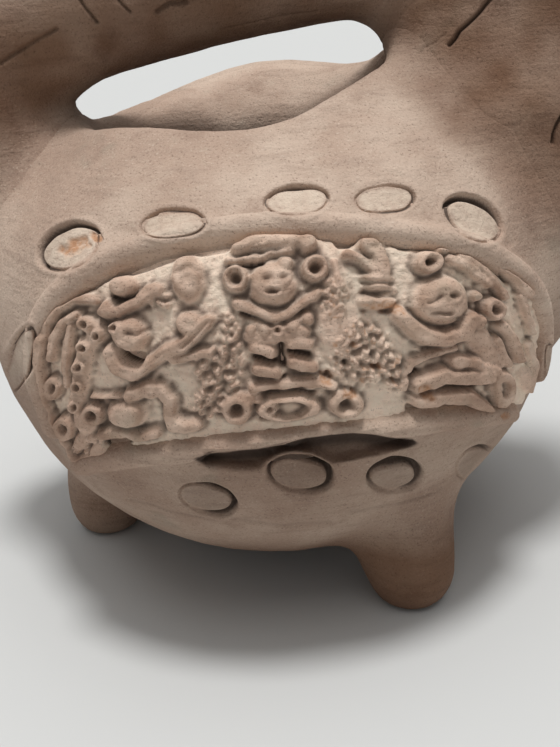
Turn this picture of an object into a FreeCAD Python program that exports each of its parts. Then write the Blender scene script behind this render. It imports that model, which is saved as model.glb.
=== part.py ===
import FreeCAD, Part
import os
from math import cos, pi, radians, sin, sqrt

# A fired-clay pouring vessel on three stub feet: a round bowl with a modelled
# shoulder, a saddle-shaped mouth, a thick tube handle over the mouth, a spout on
# the right and a relief slab between two clay rolls on the front and on the back.
# Millimetres, +Z up, front towards -Y. The origin is on the floor, under the
# middle of the whole vessel's box.

V = FreeCAD.Vector

# Bowl and wall
belly_radius = 47.5
belly_height = 48.0
base_clearance = 3.5
base_flat_radius = 10.0
wall = 5.0

# Mouth
mouth_radius = 27.0
rim_height = 75.5

# Added clay coil on the inside of the back rim
coil_radius = 2.6
coil_half_angle = radians(70.0)

# Handle
handle_radius = 10.5
handle_underside = 86.0
handle_left_end_x = 45.0
handle_right_end_x = 40.0
handle_seat_height = 66.0
handle_y = -3.0

# The clay wad between the shoulder and the handle's right end
root_angle = radians(-19.0)
root_radius = 8.8

# Spout
spout_base_x = 41.0
spout_base_height = 60.0
spout_y = -6.0
spout_lean = radians(13.0)
spout_length = 54.0
spout_base_radius = 16.5
spout_neck_radius = 12.0
spout_lip_radius = 11.5
spout_lip_roll = 1.6
spout_bore_radius = 7.0
spout_bore_depth = 14.0

# Relief slabs
slab_bottom = 42.3
slab_top = 63.4
slab_end_top = 43.0
slab_end_drop = 8.0
slab_tilt = 2.3
slab_half_angle = radians(44.5)
slab_turn = radians(4.5)
slab_thickness = 1.6
figure_height = 1.1
figure_mass_radius = 2.6

# Clay rolls above and below each slab
roll_radius = 1.5

# Feet
foot_circle_radius = 36.0
foot_radius = 7.4
foot_sole_radius = 3.4
foot_wear = 0.9
foot_splay = radians(12.0)
foot_top_height = 24.0
foot_swell = 0.6
first_foot_angle = radians(-57.7)

# The slip that bonds a slab or a roll to the clay behind it
slip_gap = 0.12

# How near two faces are treated as one where a root meets both shell and bowl
joint_tolerance = 0.002

# Shares round the mouth, in eighths of a turn: right, back right, back, back
# left, left, front left, front and front right
rim_height_shares = (1.070, 1.000, 1.012, 0.958, 0.935, 0.968, 0.962, 1.035)
rim_radius_shares = (1.00, 1.02, 1.05, 0.99, 1.03, 1.02, 0.94, 0.92)
rim_slope_shares = (1.00, 0.95, 0.90, 0.85, 0.80, 0.55, 0.45, 0.60)
steepest_rim = radians(62.0)

# How full the shoulder is between the belly and the rim
shoulder_belly_share = 0.95
shoulder_rim_share = 0.80
quarter_round_share = 0.5523

# How far the rim coil stands up the wall, and how much of it is left at its ends
coil_lift_share = 0.5
coil_end_share = 0.45

# The spout's outline: how far down its root goes into the wall, how far up each
# ring lies, and how thick it is there
spout_flare_rise_share = 0.45
spout_neck_rise_share = 0.70
spout_root_drop_share = 1.5
spout_root_share = 0.45
spout_heel_share = 0.86
spout_foot_share = 1.10
spout_flare_share = 0.60

# The slab's upper corners: 2 is a plain ellipse and more is squarer
slab_roundness_share = 2.2
slab_profile_shares = (0.0, 0.2, 0.4, 0.6, 0.8, 1.0)

# How deep the moulded figures are rooted in their slab, how far a limb's end is
# rounded, how thick it is there, and how much a mass narrows to its top
figure_bury_share = 0.75
figure_end_share = 0.55
figure_tip_share = 0.60
figure_top_share = 0.72

# The main limbs, plumes and bands of the three figures, each from one place along
# the slab (-1 to 1) and up it (0 to 1) to another
figure_limbs_shares = (
    ((-0.84, 0.76), (-0.72, 0.90)),
    ((-0.64, 0.90), (-0.50, 0.90)),
    ((-0.62, 0.50), (-0.42, 0.52)),
    ((-0.72, 0.68), (-0.79, 0.36)),
    ((-0.49, 0.34), (-0.45, 0.14)),
    ((-0.75, 0.11), (-0.56, 0.08)),
    ((-0.18, 0.92), (0.00, 0.92)),
    ((-0.20, 0.60), (-0.01, 0.63)),
    ((-0.16, 0.50), (-0.145, 0.39)),
    ((-0.05, 0.52), (-0.045, 0.41)),
    ((-0.17, 0.30), (0.03, 0.28)),
    ((-0.15, 0.16), (0.00, 0.15)),
    ((0.20, 0.90), (0.23, 0.70)),
    ((0.29, 0.57), (0.48, 0.53)),
    ((0.47, 0.91), (0.64, 0.88)),
    ((0.71, 0.84), (0.79, 0.66)),
    ((0.57, 0.50), (0.66, 0.36)),
    ((0.34, 0.25), (0.60, 0.24)),
    ((0.34, 0.09), (0.54, 0.09)),
)

# The heads, knots and other round masses: place, how far up, and width
figure_masses_shares = (
    (-0.56, 0.71, 0.95), (-0.36, 0.84, 0.80), (-0.34, 0.62, 0.50), (-0.62, 0.29, 0.85),
    (-0.09, 0.775, 0.66), (-0.22, 0.79, 0.50), (0.04, 0.80, 0.50), (-0.24, 0.15, 0.60), (0.09, 0.15, 0.60),
    (0.42, 0.73, 0.80), (0.35, 0.90, 0.50), (0.59, 0.70, 0.55), (0.71, 0.18, 0.65),
)

# The root wad: how far up the shoulder it stands, where along the handle it ends,
# its spread at its foot, and where the spread ends
root_seat_share = 0.84
root_head_share = 0.86
root_spread_share = 1.15
root_waist_share = 0.35

# A foot's outline: the round end's rings, then its waist
foot_end_share = 0.95
foot_toe_rise_share = 0.27
foot_toe_share = 0.76
foot_waist_rise_share = 0.60

# The handle's middle line from its left seat to its right end, as shares of its
# reach on that side and of its rise above the seat, with its thickness there
handle_reach_shares = (-0.72, -0.95, -0.93, -0.79, -0.42, 0.06, 0.46, 0.75, 1.00)
handle_rise_shares = (-0.48, -0.04, 0.39, 0.71, 0.865, 0.99, 1.026, 0.985, 0.885)
handle_thickness_shares = (1.10, 1.25, 1.10, 1.00, 0.97, 1.00, 1.03, 1.06, 1.06)

# Under this share of its length, a line's sideways part is too small to steer by
upright_share = 0.1

# How often the search for a height on a profile is halved
height_halvings = 40

shell_sections = 16
slab_sections = 17
coil_sections = 13
roll_sections = 19


def smooth_step(a, b, c, d, t):
    """The value between b and c, at t from 0 to 1, of a smooth curve through a, b, c and d."""
    bend = a - 2.5 * b + 2 * c - d / 2
    twist = 1.5 * (b - c) + (d - a) / 2
    return b + (c - a) * t / 2 + bend * t ** 2 + twist * t ** 3


def periodic(shares, angle):
    """The value at an angle of a smooth curve through shares spaced evenly round a turn."""
    count = len(shares)
    place = (angle / (2 * pi)) % 1.0 * count
    first = int(place)
    t = place - first
    a, b, c, d = (shares[(first + step) % count] for step in (-1, 0, 1, 2))
    return smooth_step(a, b, c, d, t)


def along(shares, t):
    """The value at t, from 0 to 1, of a smooth curve through shares spaced evenly."""
    last = len(shares) - 1
    place = min(max(t, 0.0), 1.0) * last
    first = min(int(place), last - 1)
    s = place - first
    b, c = shares[first], shares[first + 1]
    a = shares[first - 1] if first > 0 else 2 * b - c
    d = shares[first + 2] if first + 2 <= last else 2 * c - b
    return smooth_step(a, b, c, d, s)


def at(angle, radius, height):
    return V(radius * cos(angle), radius * sin(angle), height)


def bezier(points):
    curve = Part.BezierCurve()
    curve.setPoles(points)
    return curve


def mix(start, end, share):
    return start + (end - start) * share


def lip_frame(angle):
    """The middle of the rim's round edge, and the wall's direction and normal there."""
    centre_r = mouth_radius * periodic(rim_radius_shares, angle)
    centre_z = rim_height * periodic(rim_height_shares, angle)
    slope = steepest_rim * periodic(rim_slope_shares, angle)
    return (centre_r, centre_z), (-cos(slope), sin(slope)), (sin(slope), cos(slope))


def shoulder_curve(angle, inset):
    """The wall's profile from the belly to the rim, at a depth under the outer face."""
    centre, direction, normal = lip_frame(angle)
    belly_r = belly_radius - inset
    offset = wall / 2 - inset
    start = at(angle, belly_r, belly_height)
    end = at(angle, centre[0] + normal[0] * offset, centre[1] + normal[1] * offset)
    slope = at(angle, direction[0], direction[1])
    corner_rise = (belly_r - centre[0] - normal[0] * offset) * direction[1] / direction[0]
    corner = at(angle, belly_r, max(end.z + corner_rise, belly_height + wall))
    rim_pull = end - slope * (end - corner).Length * shoulder_rim_share
    return bezier([start, mix(start, corner, shoulder_belly_share), rim_pull, end])


def bowl_curve(angle, inset):
    """The bowl's profile from the belly down to the flat base, at a depth under the outer face."""
    belly_r = belly_radius - inset
    base_z = base_clearance + inset
    side = at(angle, belly_r, belly_height)
    side_pull = at(angle, belly_r, belly_height - (belly_height - base_z) * quarter_round_share)
    base_pull = at(angle, base_flat_radius + (belly_r - base_flat_radius) * quarter_round_share, base_z)
    return bezier([side, side_pull, base_pull, at(angle, base_flat_radius, base_z)])


def outer_point(angle, height, proud=0.0):
    """The point of the outer face at a height, moved out along the face's normal."""
    curve = shoulder_curve(angle, 0.0) if height > belly_height else bowl_curve(angle, 0.0)
    low, high = curve.FirstParameter, curve.LastParameter
    rising = curve.value(high).z > curve.value(low).z
    for _ in range(height_halvings):
        middle = (low + high) / 2
        if (curve.value(middle).z < height) == rising:
            low = middle
        else:
            high = middle
    point = curve.value(low)
    tangent = curve.tangent(low)[0]
    normal = tangent.cross(V(-sin(angle), cos(angle), 0.0)).normalize()
    if normal.x * cos(angle) + normal.y * sin(angle) < 0:
        normal = -normal
    return point + normal * proud, normal


def wall_section(angle):
    """The shoulder wall cut by the upright plane at an angle."""
    centre, direction, normal = lip_frame(angle)
    outer, inner = shoulder_curve(angle, 0.0), shoulder_curve(angle, wall)
    tip = at(angle, centre[0] + direction[0] * wall / 2, centre[1] + direction[1] * wall / 2)
    outer_end, inner_end = outer.value(outer.LastParameter), inner.value(inner.LastParameter)
    outer_start, inner_start = outer.value(outer.FirstParameter), inner.value(inner.FirstParameter)
    edges = [outer.toShape(), Part.Arc(outer_end, tip, inner_end).toShape()]
    edges += [inner.toShape(), Part.LineSegment(inner_start, outer_start).toShape()]
    return Part.Wire(Part.__sortEdges__(edges))


def upper_shell():
    """The shoulder, from the belly joint to the mouth."""
    halves = []
    for start in (0.0, pi):
        angles = [start + pi * step / shell_sections for step in range(shell_sections + 1)]
        halves.append(Part.makeLoft([wall_section(angle) for angle in angles], True, False))
    return halves[0].fuse(halves[1])


def lower_bowl():
    """The bowl under the belly joint, closed at the base."""
    outer, inner = bowl_curve(0.0, 0.0), bowl_curve(0.0, wall)
    axis_low, axis_high = V(0, 0, base_clearance), V(0, 0, base_clearance + wall)
    outer_end, inner_end = outer.value(outer.LastParameter), inner.value(inner.LastParameter)
    outer_start, inner_start = outer.value(outer.FirstParameter), inner.value(inner.FirstParameter)
    edges = [outer.toShape(), Part.LineSegment(outer_end, axis_low).toShape()]
    edges += [Part.LineSegment(axis_low, axis_high).toShape()]
    edges += [Part.LineSegment(axis_high, inner_end).toShape(), inner.toShape()]
    edges += [Part.LineSegment(inner_start, outer_start).toShape()]
    return Part.Face(Part.Wire(Part.__sortEdges__(edges))).revolve(V(0, 0, 0), V(0, 0, 1), 360)


def round_bar(centres, radii):
    """A bar of round section through the centres, square to their line and not twisted."""
    wires, side = [], V(0, 0, 1)
    for i, centre in enumerate(centres):
        direction = (centres[min(i + 1, len(centres) - 1)] - centres[max(i - 1, 0)]).normalize()
        side = side - direction * side.dot(direction)
        side = (side if side.Length > upright_share else direction.cross(V(0, 1, 0))).normalize()
        circle = Part.Circle(centre, direction, radii[i])
        circle.XAxis = side
        wires.append(Part.Wire([circle.toShape()]))
    return Part.makeLoft(wires, True, False)


def back_rim_coil():
    """A coil of clay pressed against the inside of the back rim, thin at both ends."""
    centres, radii = [], []
    for step in range(coil_sections):
        place = 2 * step / (coil_sections - 1) - 1
        angle = pi / 2 + place * coil_half_angle
        centre, direction, normal = lip_frame(angle)
        radius = coil_radius * mix(1.0, coil_end_share, place ** 2)
        inward, upward = wall / 2 + radius + slip_gap, coil_radius * coil_lift_share
        middle_r = centre[0] - normal[0] * inward + direction[0] * upward
        centres.append(at(angle, middle_r, centre[1] - normal[1] * inward + direction[1] * upward))
        radii.append(radius)
    return round_bar(centres, radii)


def handle_centre(t):
    reach = along(handle_reach_shares, t)
    side = handle_left_end_x if reach < 0 else handle_right_end_x
    rise = handle_underside + handle_radius - handle_seat_height
    return V(reach * side, handle_y, handle_seat_height + along(handle_rise_shares, t) * rise)


def handle_bar():
    count = 2 * len(handle_reach_shares) - 1
    centres = [handle_centre(step / (count - 1)) for step in range(count)]
    radii = [handle_radius * along(handle_thickness_shares, step / (count - 1)) for step in range(count)]
    return round_bar(centres, radii)


def spout_point(distance):
    return V(spout_base_x, spout_y, spout_base_height) + spout_axis() * distance


def turned_bar(profile, start, direction):
    """A solid turned about an axis from (distance along it, radius) points joined by a smooth line."""
    up = V(direction).normalize()
    side = up.cross(V(0, 1, 0)).normalize()
    points = [start + up * distance + side * radius for distance, radius in profile]
    curve = Part.BSplineCurve()
    curve.interpolate(points)
    low, high = start + up * profile[0][0], start + up * profile[-1][0]
    edges = [Part.LineSegment(low, points[0]).toShape(), curve.toShape()]
    edges += [Part.LineSegment(points[-1], high).toShape(), Part.LineSegment(high, low).toShape()]
    return Part.Face(Part.Wire(Part.__sortEdges__(edges))).revolve(start, up, 360)


def spout_axis():
    return V(sin(spout_lean), 0, cos(spout_lean))


def spout_outside():
    base, neck, lip, roll = spout_base_radius, spout_neck_radius, spout_lip_radius, spout_lip_roll
    profile = [(-spout_bore_depth * spout_root_drop_share, base * spout_root_share)]
    profile += [(-spout_bore_depth, base * spout_heel_share), (0.0, base * spout_foot_share)]
    profile.append((spout_length * spout_flare_rise_share, mix(base, neck, spout_flare_share)))
    profile += [(spout_length * spout_neck_rise_share, neck), (spout_length - 2 * roll, lip)]
    profile += [(spout_length - roll / 2, lip + roll / 2), (spout_length, lip - roll)]
    return turned_bar(profile, spout_point(0.0), spout_axis())


def spout_bore():
    start = spout_point(-spout_bore_depth)
    length = spout_length + 2 * spout_bore_depth
    return Part.makeCylinder(spout_bore_radius, length, start, spout_axis())


def slab_top_height(place):
    """The slab's upper outline: high in the middle, falling in a round sweep to both ends."""
    rise = max(1 - abs(place) ** slab_roundness_share, 0.0) ** (1 / slab_roundness_share)
    return slab_end_top + (slab_top - slab_end_top) * rise - slab_tilt * place


def slab_bottom_height(place):
    """The slab's lower edge, which sags towards both ends."""
    return slab_bottom - slab_end_drop * place ** 2


def slab_angle(centre_angle, place):
    return centre_angle + slab_turn + place * slab_half_angle


def slab_section(angle, low, high):
    """The slab cut by the upright plane at an angle, between two heights."""
    heights = [mix(low, high, share) for share in slab_profile_shares]
    back, front = Part.BSplineCurve(), Part.BSplineCurve()
    back_points = [outer_point(angle, height, slip_gap)[0] for height in heights]
    front_points = [outer_point(angle, height, slip_gap + slab_thickness)[0] for height in heights]
    back.interpolate(back_points)
    front.interpolate(front_points)
    edges = [back.toShape(), Part.LineSegment(back_points[-1], front_points[-1]).toShape()]
    edges += [front.toShape(), Part.LineSegment(front_points[0], back_points[0]).toShape()]
    return Part.Wire(Part.__sortEdges__(edges))


def slab_place(centre_angle, place, rise, proud):
    """A point at a place along and up the slab, proud of its face, and the way out there."""
    height = mix(slab_bottom_height(place), slab_top_height(place), rise)
    return outer_point(slab_angle(centre_angle, place), height, slip_gap + slab_thickness + proud)


def bevelled_bar(profile, start, stop):
    """A solid turned about a line, from (distance along it, radius) points joined by straight lines."""
    along_bar = (stop - start).normalize()
    side = along_bar.cross(V(0, 0, 1))
    side = (side if side.Length > upright_share else along_bar.cross(V(1, 0, 0))).normalize()
    points = [start + along_bar * distance + side * radius for distance, radius in profile]
    outline = Part.makePolygon([start] + points + [stop, start])
    return Part.Face(outline).revolve(start, along_bar, 360)


def figures(centre_angle):
    """The main forms of the moulded figures, rooted in the slab and clear of each other."""
    bury = slab_thickness * figure_bury_share
    radius = (figure_height + bury) / 2
    tip, end = radius * figure_tip_share, radius * figure_end_share
    forms = []
    for line in figure_limbs_shares:
        proud = figure_height - radius
        start, stop = (slab_place(centre_angle, place, rise, proud)[0] for place, rise in line)
        length = (stop - start).Length
        profile = [(0.0, tip), (end, radius), (length - end, radius), (length, tip)]
        forms.append(bevelled_bar(profile, start, stop))
    for place, rise, width in figure_masses_shares:
        foot_point, out = slab_place(centre_angle, place, rise, -bury)
        wide = figure_mass_radius * width
        forms.append(Part.makeCone(wide, wide * figure_top_share, figure_height + bury, foot_point, out))
    return forms


def relief_slab(centre_angle):
    """The slab with the moulded figures on its face."""
    wires = []
    for step in range(slab_sections):
        place = sin(pi * (step / (slab_sections - 1) - 0.5))
        low, high = slab_bottom_height(place), slab_top_height(place)
        wires.append(slab_section(slab_angle(centre_angle, place), low, high))
    return largest(Part.makeLoft(wires, True, False).fuse(figures(centre_angle)))


def roll_along(centre_angle, line, away):
    """A roll of clay beside a line of (place, height) points, on the side that away names."""
    arc = slab_half_angle * belly_radius
    centres, radii = [], []
    for i, (place, height) in enumerate(line):
        before, after = line[max(i - 1, 0)], line[min(i + 1, len(line) - 1)]
        run, rise = (after[0] - before[0]) * arc, after[1] - before[1]
        length = sqrt(run ** 2 + rise ** 2)
        step = away * (roll_radius + slip_gap) / length
        angle = slab_angle(centre_angle, place - rise * step / arc)
        centres.append(outer_point(angle, height + run * step, slip_gap + roll_radius)[0])
        radii.append(roll_radius)
    return round_bar(centres, radii)


def upper_roll(centre_angle):
    """The roll over the top of a slab and down both of its ends."""
    line = []
    for step in range(roll_sections):
        turn = pi * (1 - step / (roll_sections - 1))
        place = abs(cos(turn)) ** (2 / slab_roundness_share) * (1 if cos(turn) > 0 else -1)
        rise = sin(turn) ** (2 / slab_roundness_share) if 0 < step < roll_sections - 1 else 0.0
        line.append((place, slab_end_top + (slab_top - slab_end_top) * rise - slab_tilt * place))
    ends = [(place, slab_bottom_height(place) + 2 * roll_radius) for place in (-1, 1)]
    return roll_along(centre_angle, ends[:1] + line + ends[1:], 1)


def lower_roll(centre_angle):
    """The roll under a slab."""
    places = [2 * step / (roll_sections - 1) - 1 for step in range(roll_sections)]
    return roll_along(centre_angle, [(place, slab_bottom_height(place)) for place in places], -1)


def root_wad():
    """The stub of clay between the shoulder and the handle's right end, kept out of the mouth."""
    seat = outer_point(root_angle, mix(belly_height, rim_height, root_seat_share))[0]
    lean = handle_centre(root_head_share) - seat
    spread, waist = root_radius * root_spread_share, lean.Length * root_waist_share
    stub = turned_bar([(0.0, spread), (waist, root_radius), (lean.Length, root_radius)], seat, lean)
    return stub.cut(Part.makeCylinder(mouth_radius - wall / 2, rim_height * rim_height_shares[0]))


def foot(angle):
    """One stub foot, its round end worn flat where it stands."""
    lean = V(-sin(foot_splay) * cos(angle), -sin(foot_splay) * sin(angle), cos(foot_splay))
    toe, stand = at(angle, foot_circle_radius, -foot_wear), at(angle, foot_circle_radius, 0.0)
    length = (foot_top_height + foot_wear) / cos(foot_splay)
    round_end = foot_radius * foot_end_share
    profile = [(0.0, foot_sole_radius), (round_end * foot_toe_rise_share, foot_radius * foot_toe_share)]
    profile += [(round_end, foot_radius), (length * foot_waist_rise_share, foot_radius + foot_swell)]
    profile.append((length, foot_radius + 2 * foot_swell))
    body = turned_bar(profile, toe, lean)
    floor_cut = Part.makeBox(4 * foot_radius, 4 * foot_radius, foot_radius)
    floor_cut.translate(stand - V(2 * foot_radius, 2 * foot_radius, foot_radius))
    return body.cut(floor_cut)


def largest(shape):
    return max(shape.Solids, key=lambda solid: solid.Volume)


def build():
    shell, bowl = upper_shell(), lower_bowl()
    outside, bore = spout_outside(), spout_bore()
    nodes = {"lower_bowl": bowl}
    nodes["upper_shell"] = largest(shell.cut(bore))
    nodes["back_rim_coil"] = back_rim_coil()
    bar = handle_bar()
    nodes["handle"] = largest(bar.cut((shell, bowl), joint_tolerance).cut(outside))
    nodes["handle_root"] = largest(root_wad().cut(shell).cut(outside).cut(bar))
    nodes["spout"] = largest(outside.cut((shell, bowl), joint_tolerance).cut(bore))
    for name, angle in (("front", -pi / 2), ("back", pi / 2)):
        nodes[name + "_relief_slab"] = relief_slab(angle)
        nodes[name + "_upper_roll"] = upper_roll(angle)
        nodes[name + "_lower_roll"] = lower_roll(angle)
    for number, name in enumerate(("front_right_foot", "back_right_foot", "left_foot")):
        angle = first_foot_angle + number * 2 * pi / 3
        nodes[name] = largest(foot(angle).cut(bowl))
    return nodes


os.makedirs("parts", exist_ok=True)
pieces = build()
whole = Part.makeCompound(list(pieces.values())).optimalBoundingBox()
for node_name, shape in pieces.items():
    shape = shape.copy()
    shape.translate(V(-(whole.XMin + whole.XMax) / 2, -(whole.YMin + whole.YMax) / 2, 0))
    box = shape.optimalBoundingBox()
    print(node_name, shape.isValid(), round(shape.Volume), len(shape.Solids),
          "x %.1f %.1f y %.1f %.1f" % (box.XMin, box.XMax, box.YMin, box.YMax),
          "z %.1f %.1f" % (box.ZMin, box.ZMax))
    shape.exportStep("parts/" + node_name + ".step")
print("moved by", (whole.XMin + whole.XMax) / 2, (whole.YMin + whole.YMax) / 2, "floor", whole.ZMin)
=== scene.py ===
from math import cos, pi, radians, sin

import bpy
import numpy as np
import openvdb
from mathutils import Matrix, Vector
from mathutils.bvhtree import BVHTree


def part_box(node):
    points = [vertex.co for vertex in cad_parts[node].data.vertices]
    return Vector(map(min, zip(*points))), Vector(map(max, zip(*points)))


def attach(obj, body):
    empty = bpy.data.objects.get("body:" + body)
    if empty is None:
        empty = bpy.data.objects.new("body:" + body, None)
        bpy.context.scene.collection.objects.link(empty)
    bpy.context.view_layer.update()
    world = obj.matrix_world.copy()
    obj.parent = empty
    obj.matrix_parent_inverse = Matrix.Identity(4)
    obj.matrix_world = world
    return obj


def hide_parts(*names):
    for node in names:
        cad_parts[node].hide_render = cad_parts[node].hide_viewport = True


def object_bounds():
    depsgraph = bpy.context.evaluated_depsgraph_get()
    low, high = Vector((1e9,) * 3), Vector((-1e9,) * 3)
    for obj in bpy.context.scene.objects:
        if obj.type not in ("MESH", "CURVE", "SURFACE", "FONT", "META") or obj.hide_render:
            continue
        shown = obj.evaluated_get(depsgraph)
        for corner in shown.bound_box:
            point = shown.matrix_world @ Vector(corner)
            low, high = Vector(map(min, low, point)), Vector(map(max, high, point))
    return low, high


# A fired-clay pouring vessel on three stub feet. The frame gives the solids; here
# they are melted together like luted clay, pressed, scratched and weathered.
# Lengths are millimetres until a mesh is made, and pixels are of the photograph.

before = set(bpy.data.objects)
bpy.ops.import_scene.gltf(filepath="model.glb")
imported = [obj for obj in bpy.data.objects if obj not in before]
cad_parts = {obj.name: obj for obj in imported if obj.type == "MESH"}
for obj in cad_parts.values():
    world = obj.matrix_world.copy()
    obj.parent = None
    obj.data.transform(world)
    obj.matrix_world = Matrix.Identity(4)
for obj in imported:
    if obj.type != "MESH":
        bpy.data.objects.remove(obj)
cad_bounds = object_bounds()

MM = 0.001
photo_width, photo_height = 560, 747

# The photograph's camera, measured from the bowl's axis and the floor
focal_pixels = 850.0
camera_distance = 142.0
camera_height = 91.0
camera_pitch = radians(24.0)
camera_roll = radians(4.5)

# The grid on which the solids are melted together: its step, how many steps of distance
# are kept on each side of a surface, and how many lie past the solids' box
voxel = 0.8
band_voxels = 14
pad_voxels = 8

# How softly each root runs into the clay that carries it
handle_melt = 11.0
root_melt = 9.0
spout_melt = 11.0
foot_melt = 5.0
coil_melt = 9.0
roll_melt = 3.0

# How much the lower rolls thin out at their right ends, and between which angles
roll_thinning = 2.8
roll_end = (radians(38.5), radians(45.5))

# The thick slope inside the back rim, under its coil
ledge_radius, ledge_height, ledge_thickness = 18.5, 68.5, 5.5
ledge_middle, ledge_half_angle = radians(82.0), radians(44.0)
ledge_melt = 7.0

# How far a piece reaches under its neighbour, how deep it lies there, how soon it sinks
# that deep, how far the bowl's two halves overlap, and how exactly their edges lie level
lap_reach = 4.6
lap_sink = 0.35
lap_ramp = 1.6
joint_lap = 1.6
joint_touch = 0.01

# The spout's bore, as in the solid
bore_radius = 7.0
spout_lean = radians(13.0)
bore_point = np.array([41.0, -6.0, 60.0])
bore_depth = 14.0

# The relief slab's outline, as in the solid
slab_bottom, slab_top, slab_end_top = 42.3, 63.4, 43.0
slab_end_drop, slab_tilt = 8.0, 2.3
slab_half_angle, slab_turn = radians(44.5), radians(4.5)
slab_roundness = 2.2
front_angle, back_angle = -pi / 2, pi / 2

# How far the slab's face and its ground stand off the bowl, where its back lies, and how
# far it runs under the rolls
slab_proud = 1.72
slab_ground = -0.35
slab_back = 0.5
slab_overrun = 0.7

# The slab's grid, and how many of its steps the rounded rim takes
relief_columns, relief_rows = 470, 142
rim_columns, rim_rows = 8.0, 4.0

# The slot where the front's lower roll stands off the bowl: its upper and its lower edge
# in pixels, its depth, how near the bowl's axis it is cut, the pixels in which it eases in,
# and the millimetres that a pixel spans there
slot_top = [(190, 461), (195, 458), (209, 452.5), (228, 450.5), (260, 448), (284, 444.5),
            (306, 438.5), (330, 435.5), (354, 433.5), (376, 434.5), (388, 437), (412, 440),
            (420, 445)]
slot_foot = [(190, 461), (195, 461), (211, 468.5), (238, 471), (258, 471), (268, 463),
             (280, 456), (296, 453), (314, 456), (328, 463), (337, 465), (369, 458.5),
             (398, 451.5), (420, 445)]
slot_depth = 1.9
slot_reach = 12.0
slot_ease = 14.0
slot_pixel = 0.145

# Where the skin is cut finer for its marks: the longest edge and the nearness to a mark,
# in pixels, the margin around the photograph, and the lowest mark
refinements = ((3.4, 60.0), (2.0, 12.0), (1.3, 6.0))
frame_margin = 12
lowest_mark = 640

# How far a corner moves at most when it settles on its surface
settle_step = 0.5

# How far behind the bowl's axis the photograph still shows skin, and how high the feet's
# worn soles stay smooth
seen_back = 30.0
sole_height = 0.35


def node_mesh(name):
    """A node's corners, in millimetres, and its triangles."""
    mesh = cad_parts[name].data
    mesh.calc_loop_triangles()
    corners = np.empty(len(mesh.vertices) * 3, np.float32)
    mesh.vertices.foreach_get("co", corners)
    triangles = np.empty(len(mesh.loop_triangles) * 3, np.int32)
    mesh.loop_triangles.foreach_get("vertices", triangles)
    return corners.reshape(-1, 3) / MM, triangles.reshape(-1, 3)


def box_mm(name):
    """A node's lowest and highest corner, in millimetres."""
    low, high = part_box(name)
    return np.array(low) / MM, np.array(high) / MM


bowl_low, bowl_high = box_mm("lower_bowl")
axis = np.array([(bowl_low[0] + bowl_high[0]) / 2, (bowl_low[1] + bowl_high[1]) / 2, 0.0])
belly_radius = (bowl_high[0] - bowl_low[0]) / 2
joint_height = bowl_high[2]
camera_place = axis + np.array([0.0, -camera_distance, camera_height])


def camera_axes():
    """The camera's right, up and forward directions."""
    level_right = np.array([1.0, 0.0, 0.0])
    level_up = np.array([0.0, sin(camera_pitch), cos(camera_pitch)])
    right = level_right * cos(camera_roll) - level_up * sin(camera_roll)
    up = level_right * sin(camera_roll) + level_up * cos(camera_roll)
    return right, up, np.array([0.0, cos(camera_pitch), -sin(camera_pitch)])


def pixels(points):
    """Where points, in millimetres, lie in the photograph."""
    right, up, forward = camera_axes()
    away = points - camera_place
    depth = away @ forward
    x = photo_width / 2 + focal_pixels * (away @ right) / depth
    y = photo_height / 2 - focal_pixels * (away @ up) / depth
    return x, y


# Noise and curves

def hash_lattice(cells, seed):
    """A steady random value from 0 to 1 for each whole-numbered cell."""
    mixed = cells[..., 0] * 73856093 ^ cells[..., 1] * 19349663 ^ cells[..., 2] * 83492791
    mixed = (mixed ^ (seed * 2654435761 & 0x7FFFFFFF)) & 0x7FFFFFFF
    mixed = (mixed ^ (mixed >> 13)) * 1274126177 & 0x7FFFFFFF
    mixed = (mixed ^ (mixed >> 16)) * 668265263 & 0x7FFFFFFF
    return (mixed >> 7 & 0xFFFF) / 65535.0


def noise(points, size, seed):
    """Smooth noise from -1 to 1 with lumps of about the given size."""
    scaled = np.asarray(points, float) / size + 100.0
    cell = np.floor(scaled).astype(np.int64)
    part = scaled - cell
    part = part * part * (3 - 2 * part)
    total = np.zeros(len(scaled))
    for corner in np.ndindex(2, 2, 2):
        weight = np.prod(np.where(corner, part, 1 - part), axis=1)
        total += weight * hash_lattice(cell + np.array(corner), seed)
    return total * 2 - 1


def ramp(value, low, high):
    """0 below low, 1 above high and smooth between."""
    t = np.clip((value - low) / (high - low), 0.0, 1.0)
    return t * t * (3 - 2 * t)


def line_distance(x, y, points):
    """How far each place is from a line of points."""
    best = np.full(x.shape, 1e9)
    for (ax, ay), (bx, by) in zip(points[:-1], points[1:]):
        run, rise = bx - ax, by - ay
        t = np.clip(((x - ax) * run + (y - ay) * rise) / (run * run + rise * rise + 1e-9), 0.0, 1.0)
        best = np.minimum(best, np.hypot(x - ax - t * run, y - ay - t * rise))
    return best


def oval_share(x, y, centre, half_width, half_height, tilt=0.0):
    """0 at an oval's centre and 1 on its edge; tilt is in degrees, rising to the right."""
    c, s = cos(radians(tilt)), sin(radians(tilt))
    across, down = x - centre[0], y - centre[1]
    return np.hypot((across * c - down * s) / half_width, (across * s + down * c) / half_height)


def oval_gap(x, y, centre, half_width, half_height, tilt):
    """How far outside an oval each place is, measured from its centre; negative inside."""
    share = oval_share(x, y, centre, half_width, half_height, tilt)
    radial = np.hypot(x - centre[0], y - centre[1])
    return radial * (1 - 1 / np.maximum(share, 0.05))


# Melting the solids together

grid_low = np.array(cad_bounds[0]) / MM
grid_high = np.array(cad_bounds[1]) / MM
grid_start = np.floor(grid_low / voxel).astype(int) - pad_voxels
grid_shape = tuple(np.ceil(grid_high / voxel).astype(int) + pad_voxels - grid_start)
grid_transform = openvdb.createLinearTransform(voxelSize=voxel)


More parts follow.
